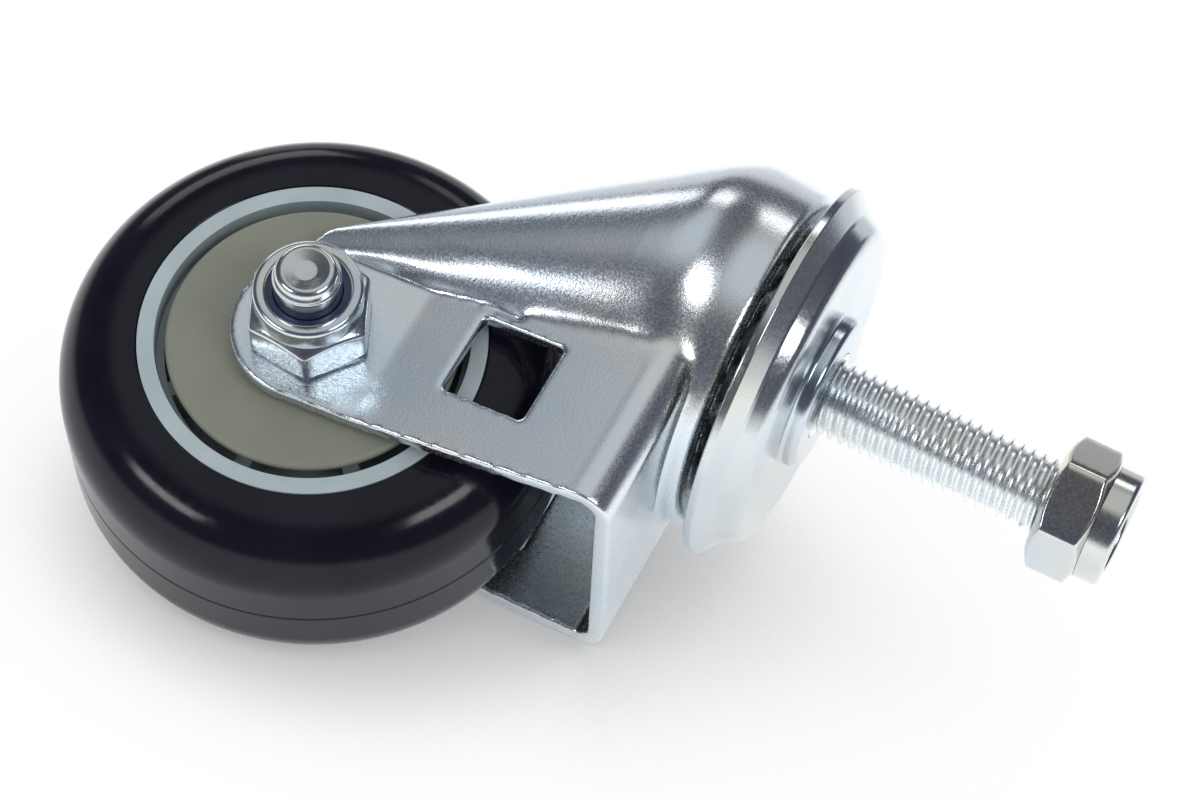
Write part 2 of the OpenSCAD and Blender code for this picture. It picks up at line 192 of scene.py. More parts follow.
class Tree:
    """Small helper that adds and links shader nodes."""

    NOISE_LOW = 0.3
    NOISE_HIGH = 0.7

    def __init__(self, owner: bpy.types.Material | bpy.types.World) -> None:
        """Starts with no nodes.

        Args:
            owner: the material or world that holds the nodes.
        """
        owner.use_nodes = True
        self.owner = owner
        self.nodes = owner.node_tree.nodes
        self.links = owner.node_tree.links
        self.nodes.clear()

    def add(self, kind: str, **values: object) -> bpy.types.Node:
        """Adds a node and sets its properties.

        Args:
            kind: the node's type name.
            values: properties to set on it.

        Returns:
            The new node.
        """
        made = self.nodes.new(kind)
        for key, value in values.items():
            setattr(made, key, value)
        return made

    def link(self, out: bpy.types.NodeSocket, into: bpy.types.NodeSocket) -> None:
        """Links one socket to another.

        Args:
            out: the socket that gives the value.
            into: the socket that takes it.
        """
        self.links.new(out, into)

    def noise(self, scale: float, detail: float) -> bpy.types.NodeSocket:
        """Adds a noise texture in object coordinates.

        Args:
            scale: noise features per metre.
            detail: octaves of the noise.

        Returns:
            The noise's value socket.
        """
        where = self.add("ShaderNodeTexCoord")
        made = self.add("ShaderNodeTexNoise")
        made.inputs["Scale"].default_value = scale
        made.inputs["Detail"].default_value = detail
        self.link(where.outputs["Object"], made.inputs["Vector"])
        return made.outputs["Fac"]

    def ramp(self, value: bpy.types.NodeSocket, stops: Stops) -> bpy.types.NodeSocket:
        """Turns a value into a colour.

        Args:
            value: the socket to read.
            stops: places and colours of the ramp.

        Returns:
            The ramp's colour socket.
        """
        made = self.add("ShaderNodeValToRGB")
        elements = made.color_ramp.elements
        while len(elements) < len(stops):
            elements.new(1.0)
        for element, (place, colour) in zip(elements, stops):
            element.position = place
            element.color = (*colour, 1.0)
        self.link(value, made.inputs["Fac"])
        return made.outputs["Color"]

    def spread(self, value: bpy.types.NodeSocket, low: float, high: float) -> bpy.types.NodeSocket:
        """Maps a noise value to a range.

        Args:
            value: the socket to read.
            low: result at the noise's dark end.
            high: result at its bright end.

        Returns:
            The mapped value socket.
        """
        made = self.add("ShaderNodeMapRange")
        made.inputs["From Min"].default_value = self.NOISE_LOW
        made.inputs["From Max"].default_value = self.NOISE_HIGH
        made.inputs["To Min"].default_value = low
        made.inputs["To Max"].default_value = high
        self.link(value, made.inputs["Value"])
        return made.outputs["Result"]

    def bump(self, value: bpy.types.NodeSocket, strength: float, height: float) -> bpy.types.NodeSocket:
        """Adds a bump from a value.

        Args:
            value: the height socket.
            strength: share of the bump that is used.
            height: height of the bump in metres.

        Returns:
            The normal socket.
        """
        made = self.add("ShaderNodeBump")
        made.inputs["Strength"].default_value = strength
        made.inputs["Distance"].default_value = height
        self.link(value, made.inputs["Height"])
        return made.outputs["Normal"]

    def larger(self, one: bpy.types.NodeSocket, two: bpy.types.NodeSocket) -> bpy.types.NodeSocket:
        """Takes the larger of two values.

        Args:
            one: the first value socket.
            two: the second value socket.

        Returns:
            The socket of the larger value.
        """
        made = self.add("ShaderNodeMath", operation="MAXIMUM")
        self.link(one, made.inputs[0])
        self.link(two, made.inputs[1])
        return made.outputs[0]

    def mix(
        self, share: bpy.types.NodeSocket, one: bpy.types.NodeSocket, two: bpy.types.NodeSocket
    ) -> bpy.types.NodeSocket:
        """Mixes two shaders.

        Args:
            share: socket that gives the share of the second shader.
            one: the first shader's socket.
            two: the second shader's socket.

        Returns:
            The mixed shader's socket.
        """
        made = self.add("ShaderNodeMixShader")
        self.link(share, made.inputs["Fac"])
        self.link(one, made.inputs[1])
        self.link(two, made.inputs[2])
        return made.outputs["Shader"]

    def surface(self, metallic: float) -> bpy.types.Node:
        """Adds the surface shader and the output.

        Args:
            metallic: 1 for metal, 0 for anything else.

        Returns:
            The surface shader node.
        """
        shader = self.add("ShaderNodeBsdfPrincipled")
        shader.inputs["Metallic"].default_value = metallic
        out = self.add("ShaderNodeOutputMaterial")
        self.link(shader.outputs["BSDF"], out.inputs["Surface"])
        return shader


@dataclass(frozen=True)
class ZincFinish:
    """Bright zinc plate with a grain and a faint tint.

    Attributes:
        name: the material's name.
        light: colour of the bright areas.
        tint: colour of the bluish areas.
        warm: colour of the straw-tinted areas.
        rough: lowest and highest roughness.
        grain: height of the grain in metres.
        grain_scale: grain features per metre.
    """

    name: str
    light: Colour
    tint: Colour
    warm: Colour
    rough: Point
    grain: float
    grain_scale: float

    PATCH_SCALE = 34.0
    PATCH_PLACES = (0.30, 0.48, 0.66)
    DETAIL = 3.0
    GRAIN_SHARE = 0.6

    def material(self) -> bpy.types.Material:
        """Makes the material.

        Returns:
            The finished material.
        """
        tree = Tree(bpy.data.materials.new(self.name))
        shader = tree.surface(1.0)
        patches = tree.noise(self.PATCH_SCALE, self.DETAIL)
        stops = list(zip(self.PATCH_PLACES, (self.warm, self.light, self.tint)))
        tree.link(tree.ramp(patches, stops), shader.inputs["Base Color"])
        fine = tree.noise(self.grain_scale, self.DETAIL)
        tree.link(tree.spread(fine, *self.rough), shader.inputs["Roughness"])
        tree.link(tree.bump(fine, self.GRAIN_SHARE, self.grain), shader.inputs["Normal"])
        return tree.owner


@dataclass(frozen=True)
class PlasticFinish:
    """Moulded plastic or rubber with a slight mottle.

    Attributes:
        name: the material's name.
        dark: colour of the darker areas.
        light: colour of the lighter areas.
        rough: lowest and highest roughness.
        grain: height of the surface grain in metres.
        shine: level of the surface's own reflection.
    """

    name: str
    dark: Colour
    light: Colour
    rough: Point
    grain: float
    shine: float = 0.5

    MOTTLE_SCALE = 120.0
    MOTTLE_DETAIL = 4.0
    MOTTLE_PLACES = (0.35, 0.65)
    GRAIN_SCALE = 900.0
    GRAIN_DETAIL = 3.0
    GRAIN_SHARE = 0.5

    def material(self) -> bpy.types.Material:
        """Makes the material.

        Returns:
            The finished material.
        """
        tree = Tree(bpy.data.materials.new(self.name))
        shader = tree.surface(0.0)
        mottle = tree.noise(self.MOTTLE_SCALE, self.MOTTLE_DETAIL)
        stops = list(zip(self.MOTTLE_PLACES, (self.dark, self.light)))
        tree.link(tree.ramp(mottle, stops), shader.inputs["Base Color"])
        fine = tree.noise(self.GRAIN_SCALE, self.GRAIN_DETAIL)
        tree.link(tree.spread(fine, *self.rough), shader.inputs["Roughness"])
        tree.link(tree.bump(fine, self.GRAIN_SHARE, self.grain), shader.inputs["Normal"])
        shader.inputs["Specular IOR Level"].default_value = self.shine
        return tree.owner


THREAD_FINISH = ZincFinish(
    name="zinc_thread",
    light=(0.82, 0.85, 0.86), tint=(0.74, 0.79, 0.82), warm=(0.84, 0.83, 0.78),
    rough=(0.22, 0.34), grain=8e-6, grain_scale=2200.0,
)
FINISHES: dict[Slot, ZincFinish | PlasticFinish] = {
    Slot.ZINC: ZincFinish(
        name="zinc_smooth",
        light=(0.59, 0.63, 0.645), tint=(0.51, 0.585, 0.65), warm=(0.63, 0.62, 0.55),
        rough=(0.13, 0.23), grain=1.2e-5, grain_scale=2400.0,
    ),
    Slot.FORK: ZincFinish(
        name="zinc_drawn",
        light=(0.66, 0.71, 0.75), tint=(0.57, 0.66, 0.73), warm=(0.70, 0.71, 0.68),
        rough=(0.18, 0.30), grain=2.8e-5, grain_scale=3000.0,
    ),
    Slot.STEEL: ZincFinish(
        name="bearing_steel",
        light=(0.62, 0.63, 0.65), tint=(0.55, 0.57, 0.60), warm=(0.64, 0.62, 0.60),
        rough=(0.10, 0.18), grain=2e-6, grain_scale=1500.0,
    ),
    Slot.NYLON: PlasticFinish(
        name="nylon",
        dark=(0.010, 0.018, 0.050), light=(0.016, 0.028, 0.075), rough=(0.28, 0.38), grain=4e-6,
    ),
    Slot.CORE: PlasticFinish(
        name="core_plastic",
        dark=(0.25, 0.30, 0.315), light=(0.29, 0.34, 0.355), rough=(0.42, 0.55), grain=6e-6,
    ),
    Slot.GUARD: PlasticFinish(
        name="guard_plastic",
        dark=(0.141, 0.151, 0.117), light=(0.152, 0.162, 0.127), rough=(0.45, 0.60), grain=1e-5,
    ),
    Slot.TYRE: PlasticFinish(
        name="tyre_rubber",
        dark=(0.003, 0.003, 0.006), light=(0.005, 0.005, 0.010), rough=(0.12, 0.19), grain=5e-6, shine=0.24,
    ),
}


class Materials:
    """Makes each slot's material once."""

    def __init__(self) -> None:
        """Starts with no materials."""
        self.made: dict[Slot, bpy.types.Material] = {}

    def get(self, slot: Slot) -> bpy.types.Material:
        """Gives a slot's material.

        Args:
            slot: the record's slot.

        Returns:
            The material, made on the first call.
        """
        if slot not in self.made:
            self.made[slot] = FINISHES[slot].material()
        return self.made[slot]


STRAIGHT = math.pi - 0.02


def rounded(corners: Sequence[Corner], steps: int = 6) -> list[Point]:
    """Rounds the corners of a closed outline.

    Args:
        corners: corner places with the radius of each, in millimetres.
        steps: points along each rounded corner.

    Returns:
        The points of the rounded outline.
    """
    points: list[Point] = []
    count = len(corners)
    for i, (x, y, radius) in enumerate(corners):
        here = Vector((x, y))
        to_last = (Vector(corners[i - 1][:2]) - here).normalized()
        to_next = (Vector(corners[(i + 1) % count][:2]) - here).normalized()
        angle = to_last.angle(to_next)
        if radius <= 0.0 or angle > STRAIGHT:
            points.append((x, y))
            continue
        middle = here + (to_last + to_next).normalized() * (radius / math.sin(angle / 2))
        reach = radius / math.tan(angle / 2)
        start = here + to_last * reach - middle
        turn = start.angle_signed(here + to_next * reach - middle)
        for k in range(steps + 1):
            a = -turn * k / steps
            c, s = math.cos(a), math.sin(a)
            points.append((middle.x + start.x * c - start.y * s, middle.y + start.x * s + start.y * c))
    return points


class Piece(ABC):
    """A visual piece that stands for CAD nodes."""

    slot: Slot
    body: str
    nodes: tuple[str, ...]

    @abstractmethod
    def mesh(self) -> bpy.types.Mesh:
        """Makes the piece's mesh.

        Returns:
            The mesh in the row frame, in metres.
        """

    def build(self, name: str, materials: Materials) -> bpy.types.Object:
        """Makes the piece and puts it on its body.

        Args:
            name: the object's name.
            materials: the store of materials.

        Returns:
            The new object.
        """
        mesh = self.mesh()
        mesh.materials.clear()
        mesh.materials.append(materials.get(self.slot))
        made = bpy.data.objects.new(name, mesh)
        bpy.context.scene.collection.objects.link(made)
        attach(made, self.body)
        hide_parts(*self.nodes)
        LOG.info("%s: %d faces", name, len(mesh.polygons))
        return made


def finish_mesh(work: bmesh.types.BMesh, name: str, sharp: float) -> bpy.types.Mesh:
    """Turns working geometry into a smooth mesh with crisp edges.

    Args:
        work: the working geometry, which is freed.
        name: the mesh's name.
        sharp: angle in degrees above which an edge stays crisp.

    Returns:
        The finished mesh.
    """
    bmesh.ops.recalc_face_normals(work, faces=work.faces)
    mesh = bpy.data.meshes.new(name)
    work.to_mesh(mesh)
    work.free()
    mesh.shade_smooth()
    limit = math.cos(math.radians(sharp))
    count = len(mesh.polygons)
    normals = np.zeros(count * 3)
    mesh.polygons.foreach_get("normal", normals)
    normals = normals.reshape(-1, 3)
    areas = np.zeros(count)
    mesh.polygons.foreach_get("area", areas)
    around: list[list[int]] = [[] for _ in mesh.vertices]
    for face in mesh.polygons:
        for vertex in face.vertices:
            around[vertex].append(face.index)
    corners: list[tuple[float, float, float]] = []
    for face in mesh.polygons:
        own = normals[face.index]
        for vertex in face.vertices:
            near = around[vertex]
            share = normals[near]
            keep = share @ own > limit
            total = (share[keep] * areas[near][keep, None]).sum(axis=0)
            size = float(np.linalg.norm(total))
            corners.append(tuple(total / size) if size > 0.0 else tuple(own))
    mesh.normals_split_custom_set(corners)
    return mesh


@dataclass
class Turned(Piece):
    """A piece turned round the swivel axis or the axle.

    Attributes:
        slot: the record's material slot.
        body: the CAD body it rides on.
        nodes: the CAD nodes it stands for.
        outline: closed section, radius and height, in millimetres.
        axis: the axis it is turned on.
        steps: faces round the axis.
        sharp: angle above which an edge stays crisp, in degrees.
    """

    slot: Slot
    body: str
    nodes: tuple[str, ...]
    outline: list[Point]
    axis: Axis
    steps: int = 128
    sharp: float = 32.0

    WELD = 1e-7

    def radius(self, radius: float, angle: float) -> float:
        """Gives the radius of an outline point at an angle.

        Args:
            radius: the point's radius in the outline.
            angle: the angle round the axis, not used here.

        Returns:
            The radius itself, because a turned piece is round.
        """
        return radius

    def mesh(self) -> bpy.types.Mesh:
        """Makes the turned mesh.

        Returns:
            The mesh in the row frame, in metres.
        """
        work = bmesh.new()
        rings: list[list[bmesh.types.BMVert]] = []
        for k in range(self.steps):
            a = 2 * math.pi * k / self.steps
            across, up = math.cos(a) * MM, math.sin(a) * MM
            section = [(self.radius(r, a), h * MM) for r, h in self.outline]
            rings.append([work.verts.new((r * across, r * up, h)) for r, h in section])
        count = len(self.outline)
        for k in range(self.steps):
            one, two = rings[k], rings[(k + 1) % self.steps]
            for i in range(count):
                j = (i + 1) % count
                work.faces.new((one[i], two[i], two[j], one[j]))
        bmesh.ops.remove_doubles(work, verts=work.verts, dist=self.WELD)
        bmesh.ops.transform(work, matrix=LAYOUT.matrix(self.axis), verts=work.verts)
        return finish_mesh(work, "turned", self.sharp)


@dataclass
class HexTurned(Turned):
    """A turned piece cut to a hexagon, such as a nut, with soft edges.

    Attributes:
        flats: width across the flats in millimetres.
        corner: angle of one corner of the hexagon.
        soft: width of the soft edge between hexagon and turned chamfer.
        crisp: sharpness of the corners.
    """

    flats: float = 17.0
    corner: float = 0.0
    soft: float = 0.7
    crisp: float = 70.0

    def radius(self, radius: float, angle: float) -> float:
        """Gives the radius of an outline point at an angle.

        Args:
            radius: the point's radius in the outline.
            angle: the angle round the axis.

        Returns:
            The smaller of that radius and the hexagon's, blended softly.
        """
        start = angle - self.corner - math.pi / 6
        total = sum(max(math.cos(start - k * math.pi / 3), 0.0) ** self.crisp for k in range(6))
        reach = self.flats / 2 / total ** (1 / self.crisp)
        blend = max(self.soft - abs(radius - reach), 0.0) / self.soft
        return min(radius, reach) - blend * blend * self.soft / 4


def corner_angle(source: bpy.types.Object, axis: Axis) -> float:
    """Finds how a CAD hexagon is turned.

    Args:
        source: the CAD node with the hexagon.
        axis: the axis that it lies on.

    Returns:
        The angle of one corner round the axis.
    """
    place = LAYOUT.matrix(axis).inverted()
    points = [place @ vertex.co for vertex in source.data.vertices]
    far = max(points, key=lambda point: round(math.hypot(point.x, point.y), 6))
    return math.atan2(far.y, far.x)


def dense(points: Sequence[Point], step: float = 0.25) -> list[Point]:
    """Splits the long sides of a closed outline.

    Args:
        points: the outline's points.
        step: longest side left, in millimetres.

    Returns:
        The outline with more points.
    """
    result: list[Point] = []
    for i, (x, y) in enumerate(points):
        next_x, next_y = points[(i + 1) % len(points)]
        count = max(1, math.ceil(math.hypot(next_x - x, next_y - y) / step))
        result += [(x + (next_x - x) * k / count, y + (next_y - y) * k / count) for k in range(count)]
    return result


@dataclass(frozen=True)
class LockNut:
    """Sizes of a lock nut with a rolled collar, in millimetres.

    Attributes:
        flats: width across the flats.
        height: whole height.
        bore: radius of the bore.
        seat: place of the bearing face along the axis.
        way: 1 if the collar points along the axis, -1 if against it.
    """

    flats: float
    height: float
    bore: float
    seat: float
    way: int

    # Shares of half the flats, then of the height
    FACE, COLLAR, MOUTH, INSERT = 0.93, 0.95, 0.705, 0.826
    HEXAGON, LIP = 0.68, 0.94

    def outline(self) -> list[Point]:
        """Gives the section of the nut.

        Returns:
            Points of radius and place along the axis.
        """
        half = self.flats / 2
        face, corner = self.FACE * half, half / math.cos(math.pi / 6)
        chamfer = (corner - face) * math.tan(math.pi / 6)
        top, lip, height = self.HEXAGON * self.height, self.LIP * self.height, self.height
        collar, mouth, insert = self.COLLAR * half, self.MOUTH * half, self.INSERT * half
        points = rounded([
            (self.bore, 0.0, 0.0), (face, 0.0, 0.3), (corner, chamfer, 0.0), (corner, top - chamfer, 0.0),
            (face, top, 0.0), (collar, top - 0.05, 0.0), (collar, height, 0.8), (mouth, height, 0.7),
            (mouth, lip, 0.0), (insert, lip, 0.0), (insert, top, 0.0), (self.bore, top, 0.0),
        ])
        return [(r, self.seat + self.way * h) for r, h in dense(points)]


@dataclass
class Formed(Piece):
    """A piece with the form of one CAD node and softened edges.

    Attributes:
        slot: the record's material slot.
        body: the CAD body it rides on.
        nodes: the CAD nodes it stands for.
        source: the CAD node whose form it takes.
        edge: radius of the softened edges in millimetres.
        sharp: angle above which an edge is softened, in degrees.
    """

    slot: Slot
    body: str
    nodes: tuple[str, ...]
    source: bpy.types.Object
    edge: float
    sharp: float = 32.0

    WELD = 2e-6
    FLAT = math.radians(0.6)
    SEGMENTS = 2

    def mesh(self) -> bpy.types.Mesh:
        """Makes the softened mesh.

        Returns:
            The mesh in the row frame, in metres.
        """
        work = bmesh.new()
        work.from_mesh(self.source.data)
        bmesh.ops.remove_doubles(work, verts=work.verts, dist=self.WELD)
        bmesh.ops.dissolve_limit(
            work, angle_limit=self.FLAT, verts=work.verts, edges=work.edges, use_dissolve_boundaries=False
        )
        limit = math.radians(self.sharp)
        crisp = [e for e in work.edges if len(e.link_faces) == 2 and e.calc_face_angle(0.0) > limit]
        bmesh.ops.bevel(
            work, geom=crisp, offset=self.edge * MM, segments=self.SEGMENTS, profile=0.5,
            affect="EDGES", clamp_overlap=True,
        )
        bmesh.ops.triangulate(work, faces=[f for f in work.faces if len(f.verts) > 4])
        return finish_mesh(work, "formed", self.sharp)


def modified(mesh: bpy.types.Mesh, kind: str, **values: object) -> bpy.types.Mesh:
    """Puts a mesh through one modifier.

    Args:
        mesh: the mesh to change.
        kind: the modifier's type name.
        values: properties to set on the modifier.

    Returns:
        The changed mesh.
    """
    holder = bpy.data.objects.new("holder", mesh)
    bpy.context.scene.collection.objects.link(holder)
    modifier = holder.modifiers.new("step", kind)
    for key, value in values.items():
        setattr(modifier, key, value)
    graph = bpy.context.evaluated_depsgraph_get()
    result = bpy.data.meshes.new_from_object(holder.evaluated_get(graph))
    bpy.data.objects.remove(holder)
    return result


def relax(points: np.ndarray, ends: np.ndarray, share: np.ndarray, passes: int) -> None:
    """Moves points towards the middle of their neighbours.

    Args:
        points: places of the points, changed in place.
        ends: pairs of linked points.
        share: how far each point moves in a pass.
        passes: number of passes.
    """
    count = len(points)
    one, two = ends.T
    links = np.maximum(np.bincount(ends.ravel(), minlength=count), 1)
    for _ in range(passes):
        for i in range(3):
            place = points[:, i]
            total = np.bincount(one, place[two], count) + np.bincount(two, place[one], count)
            points[:, i] += (total / links - place) * share


def rising(values: np.ndarray, start: float, width: float) -> np.ndarray:
    """Turns values into shares that rise from 0 to 1.

    Args:
        values: the values to read.
        start: the value with share 0.
        width: way from there to share 1, negative where smaller values have more.

    Returns:
        A share for each value.
    """
    return np.clip((values - start) / width, 0.0, 1.0)


def beside(values: np.ndarray, middle: float, reach: float) -> np.ndarray:
    """Turns values into shares that are 1 round a middle and fall off to both sides.

    Args:
        values: the values to read.
        middle: the value in the middle.
        reach: width of the fall on each side.

    Returns:
        A share for each value.
    """
    plateau = 1.4
    return np.clip(plateau - np.abs(values - middle) / reach, 0.0, 1.0)


@dataclass
class Drawn(Piece):
    """A pressed sheet piece whose folds are drawn into soft curves.

    Attributes:
        slot: the record's material slot.
        body: the CAD body it rides on.
        nodes: the CAD nodes it stands for.
        source: the CAD node whose form it takes.
        cell: spacing of the surface points in millimetres.
        passes: smoothing passes in the drawn folds.
        triangles: most triangles left on flat sheet and folds together.
    """

    slot: Slot
    body: str
    nodes: tuple[str, ...]
    source: bpy.types.Object
    cell: float = 0.38
    passes: int = 190
    triangles: int = 180000

    # Fold between crown and flanks: height, end towards the legs and start outside the crown's rim
    COLLAR = (-22.0, 6.0)
    COLLAR_END = (18.0, -4.0)
    COLLAR_START = (20.0, 2.0)

    # Crease between flanks and legs: place, side, foot, top and how soft it is
    CREASE = (18.5, 1.8)
    CREASE_SIDE = (16.5, 2.0)
    CREASE_FOOT = (-64.0, 10.0)
    CREASE_TOP = (-20.0, -4.0)
    CREASE_SHARE = 0.3

    # Movement of a point in one pass, everywhere and in the folds
    EVEN_SHARE, EVEN_PASSES = 0.33, 7
    FOLD_SHARE = 0.6

    def drawn_share(self, points: np.ndarray) -> np.ndarray:
        """Tells how far each point lies in a drawn fold.

        Args:
            points: surface points in millimetres.

        Returns:
            A share from 0 on flat sheet and cut edges to 1 in the folds.
        """
        x, y, z = points.T
        collar = beside(z, *self.COLLAR) * rising(x, *self.COLLAR_END)
        collar *= rising(np.hypot(x, y), *self.COLLAR_START)
        crease = beside(x, *self.CREASE) * rising(np.abs(y), *self.CREASE_SIDE)
        crease *= self.CREASE_SHARE * rising(z, *self.CREASE_FOOT) * rising(z, *self.CREASE_TOP)
        return np.clip(np.maximum(collar, crease), 0.0, 1.0)

    def mesh(self) -> bpy.types.Mesh:
        """Makes the drawn mesh.

        Returns:
            The mesh in the row frame, in metres.
        """
        mesh = modified(self.source.data.copy(), "REMESH", mode="VOXEL", voxel_size=self.cell * MM)
        count = len(mesh.vertices)
        points = np.zeros(count * 3)
        mesh.vertices.foreach_get("co", points)
        points = points.reshape(-1, 3) / MM
        ends = np.zeros(len(mesh.edges) * 2, dtype=np.int64)
        mesh.edges.foreach_get("vertices", ends)
        ends = ends.reshape(-1, 2)
        fold = self.drawn_share(points)
        relax(points, ends, np.full(count, self.EVEN_SHARE), self.EVEN_PASSES)
        relax(points, ends[fold[ends].sum(axis=1) > 0.0], fold * self.FOLD_SHARE, self.passes)
        mesh.vertices.foreach_set("co", (points * MM).ravel())
        mesh.update()
        mesh.shade_smooth()
        mesh = modified(mesh, "DECIMATE", ratio=min(1.0, self.triangles / (2 * len(mesh.polygons))))
        return modified(mesh, "WEIGHTED_NORMAL", weight=100)


@dataclass
class ThreadNodes:
    """Geometry nodes that wind a thread round Z.

    Attributes:
        crest: radius of the thread's crest in millimetres.
        depth: depth of the thread.
        pitch: pitch of the thread.
        turns: number of turns.
        start: height of the first turn.
    """

    crest: float
    depth: float
    pitch: float
    turns: int
    start: float

    INPUTS = ("Crest Radius", "Depth", "Pitch", "Turns", "Start")
    STEPS_PER_TURN = 56.0
    ROWS = 13
    ROOT_EDGE = 0.88
    FLANK = 0.70
    WELD = 2e-6

    def group(self) -> bpy.types.NodeTree:
        """Makes the node group.

        Returns:
            The geometry node group with named inputs.
        """
        tree = bpy.data.node_groups.new("thread_winding", "GeometryNodeTree")
        face = tree.interface
        for name in self.INPUTS:
            face.new_socket(name, in_out="INPUT", socket_type="NodeSocketFloat")
        face.new_socket("Material", in_out="INPUT", socket_type="NodeSocketMaterial")
        face.new_socket("Geometry", in_out="OUTPUT", socket_type="NodeSocketGeometry")
        given = tree.nodes.new("NodeGroupInput")
        result = tree.nodes.new("NodeGroupOutput")

        def put(value: object, socket: bpy.types.NodeSocket) -> None:
            if isinstance(value, bpy.types.NodeSocket):
                tree.links.new(value, socket)
            else:
                socket.default_value = value

        def maths(kind: str, *values: object) -> bpy.types.NodeSocket:
            node = tree.nodes.new("ShaderNodeMath")
            node.operation = kind
            for socket, value in zip(node.inputs, values):
                put(value, socket)
            return node.outputs[0]

        grid = tree.nodes.new("GeometryNodeMeshGrid")
        grid.inputs["Size X"].default_value = 1.0
        grid.inputs["Size Y"].default_value = 1.0
        around = maths("ADD", maths("MULTIPLY", given.outputs["Turns"], self.STEPS_PER_TURN), 1.0)
        put(around, grid.inputs["Vertices X"])
        grid.inputs["Vertices Y"].default_value = self.ROWS
        where = tree.nodes.new("GeometryNodeInputPosition")
        split = tree.nodes.new("ShaderNodeSeparateXYZ")
        put(where.outputs[0], split.inputs[0])
        along = maths("ADD", split.outputs["X"], 0.5)
        phase = maths("ADD", split.outputs["Y"], 0.5)
        turned = maths("MULTIPLY", along, given.outputs["Turns"])
        angle = maths("MULTIPLY", turned, 2 * math.pi)
        side = maths("ABSOLUTE", maths("SUBTRACT", maths("MULTIPLY", phase, 2.0), 1.0))
        rise = maths("DIVIDE", maths("SUBTRACT", self.ROOT_EDGE, side), self.FLANK)
        lift = maths("MINIMUM", maths("MAXIMUM", rise, 0.0), 1.0)
        root = maths("SUBTRACT", given.outputs["Crest Radius"], given.outputs["Depth"])
        radius = maths("ADD", root, maths("MULTIPLY", lift, given.outputs["Depth"]))
        height = maths("MULTIPLY", maths("ADD", turned, phase), given.outputs["Pitch"])
        height = maths("ADD", height, given.outputs["Start"])
        joined = tree.nodes.new("ShaderNodeCombineXYZ")
        put(maths("MULTIPLY", radius, maths("COSINE", angle)), joined.inputs["X"])
        put(maths("MULTIPLY", radius, maths("SINE", angle)), joined.inputs["Y"])
        put(height, joined.inputs["Z"])
        move = tree.nodes.new("GeometryNodeSetPosition")
        put(grid.outputs["Mesh"], move.inputs["Geometry"])
        put(joined.outputs[0], move.inputs["Position"])
        weld = tree.nodes.new("GeometryNodeMergeByDistance")
        weld.inputs["Distance"].default_value = self.WELD
        put(move.outputs["Geometry"], weld.inputs["Geometry"])
        real = tree.nodes.new("GeometryNodeRealizeInstances")
        put(weld.outputs["Geometry"], real.inputs["Geometry"])
        dress = tree.nodes.new("GeometryNodeSetMaterial")
        put(real.outputs["Geometry"], dress.inputs["Geometry"])
        put(given.outputs["Material"], dress.inputs["Material"])
        put(dress.outputs["Geometry"], result.inputs["Geometry"])
        return tree

    def mesh(self, material: bpy.types.Material) -> bpy.types.Mesh:
        """Winds the thread.

        Args:
            material: the thread's material.

        Returns:
            A plain mesh of the wound thread.
        """
        holder = bpy.data.objects.new("thread_holder", bpy.data.meshes.new("thread_holder"))
        bpy.context.scene.collection.objects.link(holder)
        modifier = holder.modifiers.new("thread", "NODES")
        tree = self.group()
        modifier.node_group = tree
        values = (self.crest * MM, self.depth * MM, self.pitch * MM, float(self.turns), self.start * MM)
        wanted = dict(zip(self.INPUTS, values))
        for item in tree.interface.items_tree:
            if item.item_type == "SOCKET" and item.in_out == "INPUT":
                modifier[item.identifier] = wanted.get(item.name, material)
        graph = bpy.context.evaluated_depsgraph_get()
        mesh = bpy.data.meshes.new_from_object(holder.evaluated_get(graph))
        bpy.data.objects.remove(holder)
        return mesh


@dataclass
class Threaded(Piece):
    """A turned piece with a wound thread.

    Attributes:
        slot: the record's material slot.
        body: the CAD body it rides on.
        nodes: the CAD nodes it stands for.
        outline: section of the plain part, radius and height, in millimetres.
        thread: the thread's winding.
        axis: the axis it is turned on.
        material: the thread's material.
    """

    slot: Slot
    body: str
    nodes: tuple[str, ...]
    outline: list[Point]
    thread: ThreadNodes
    axis: Axis
    material: bpy.types.Material

    STEPS = 64
    SHARP = 40.0

    def mesh(self) -> bpy.types.Mesh:
        """Makes the plain part and winds the thread on it.

        Returns:
            The mesh in the row frame, in metres.
        """
        plain = Turned(self.slot, self.body, self.nodes, self.outline, self.axis, self.STEPS).mesh()
        wound = self.thread.mesh(self.material)
        wound.transform(LAYOUT.matrix(self.axis))
        work = bmesh.new()
        work.from_mesh(plain)
        work.from_mesh(wound)
        return finish_mesh(work, "threaded", self.SHARP)


